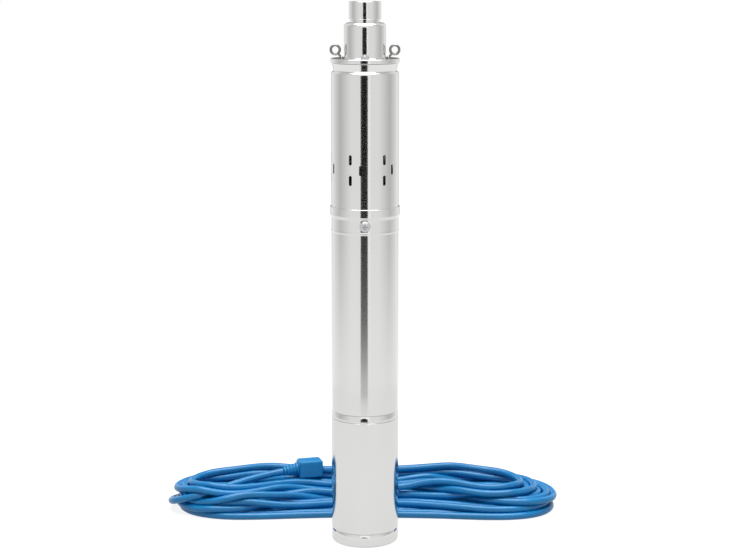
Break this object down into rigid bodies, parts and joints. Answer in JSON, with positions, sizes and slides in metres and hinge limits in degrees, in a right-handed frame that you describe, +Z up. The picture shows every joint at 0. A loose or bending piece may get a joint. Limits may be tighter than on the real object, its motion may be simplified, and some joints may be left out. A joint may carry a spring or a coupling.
{
  "type": "borehole submersible pump",
  "caption": "Slim polished steel submersible pump with a threaded outlet, rope eyes, intake slots and a coiled blue supply cable with a plug.",
  "frame": {"origin": "centre of the bottom cap's underside, on the pump's axis", "axes": "+Z up along the pump's axis towards the outlet, -Y towards the front screws, +X to the right"},
  "size_m": [0.472, 0.2183, 0.6122],
  "materials": {
    "polished_steel": "mirror-polished stainless steel",
    "turned_steel": "turned stainless steel",
    "cast_metal": "machined casting",
    "laminations": "stacked sheet",
    "windings": "enamelled copper",
    "black_rubber": "matt moulded rubber",
    "white_plastic": "moulded plastic",
    "cable_jacket": "smooth blue jacket",
    "plug_plastic": "moulded blue plastic"
  },
  "bodies": {
    "pump": {"bottom_cap": "polished_steel", "lower_housing": "polished_steel", "motor_tube": "polished_steel", "barrel": "polished_steel", "outlet_head": "polished_steel", "outlet_socket": "polished_steel", "eye_bolt_left": "polished_steel", "eye_bolt_right": "polished_steel", "flange_screw": "turned_steel", "head_screw_front": "turned_steel", "head_screw_rear": "turned_steel", "cable_gland": "turned_steel", "diaphragm_ring": "turned_steel", "stator_tube": "turned_steel", "valve_spring": "turned_steel", "upper_bearing_outer_race": "turned_steel", "lower_bearing_outer_race": "turned_steel", "lower_carrier": "cast_metal", "motor_head": "cast_metal", "stator_core": "laminations", "winding_upper": "windings", "winding_lower": "windings", "cap_o_ring": "black_rubber", "carrier_o_ring": "black_rubber", "pressure_diaphragm": "black_rubber", "stator_liner": "black_rubber", "inner_lead": "black_rubber", "capacitor": "white_plastic", "seal_seat": "white_plastic", "valve_seat": "white_plastic", "valve_guide": "white_plastic", "cable_drop": "cable_jacket", "cable_hank": "cable_jacket", "cable_tail": "cable_jacket", "cable_plug": "plug_plastic"},
    "motor_rotor": {"motor_shaft": "turned_steel", "rotor_core": "laminations", "rotor_end_ring_lower": "cast_metal", "rotor_end_ring_upper": "cast_metal", "drive_coupling": "turned_steel", "sand_slinger": "black_rubber", "seal_rotary": "turned_steel", "upper_bearing_inner_race": "turned_steel", "lower_bearing_inner_race": "turned_steel"},
    "upper_balls": {"upper_bearing_balls": "turned_steel"},
    "lower_balls": {"lower_bearing_balls": "turned_steel"},
    "flexible_drive": {"flexible_shaft": "turned_steel"},
    "screw": {"screw_rotor": "polished_steel"},
    "poppet": {"valve_poppet": "white_plastic"}
  },
  "joints": [
    {"name": "motor_spin", "type": "hinge", "parent": "pump", "child": "motor_rotor", "pos_m": [0, 0, 0.268], "axis": [0, 0, 1], "continuous": true},
    {"name": "upper_balls_roll", "type": "hinge", "parent": "pump", "child": "upper_balls", "pos_m": [0, 0, 0.3538], "axis": [0, 0, 1], "continuous": true},
    {"name": "lower_balls_roll", "type": "hinge", "parent": "pump", "child": "lower_balls", "pos_m": [0, 0, 0.1594], "axis": [0, 0, 1], "continuous": true},
    {"name": "drive_orbit", "type": "hinge", "parent": "pump", "child": "flexible_drive", "pos_m": [0, 0, 0.428], "axis": [0, 0, 1], "continuous": true},
    {"name": "screw_spin", "type": "hinge", "parent": "flexible_drive", "child": "screw", "pos_m": [0.0025, 0, 0.496], "axis": [0, 0, 1], "continuous": true},
    {"name": "valve_lift", "type": "slide", "parent": "pump", "child": "poppet", "axis": [0, 0, 1], "range_m": [0, 0.006], "stiffness_N_per_m": 60, "springref_m": -0.004, "deforming": ["valve_spring"]}
  ],
  "couplings": [
    {"joint": "upper_balls_roll", "follows": "motor_spin", "ratio": 0.3655},
    {"joint": "lower_balls_roll", "follows": "motor_spin", "ratio": 0.3655},
    {"joint": "drive_orbit", "follows": "motor_spin", "ratio": -1},
    {"joint": "screw_spin", "follows": "motor_spin", "ratio": 2}
  ]
}
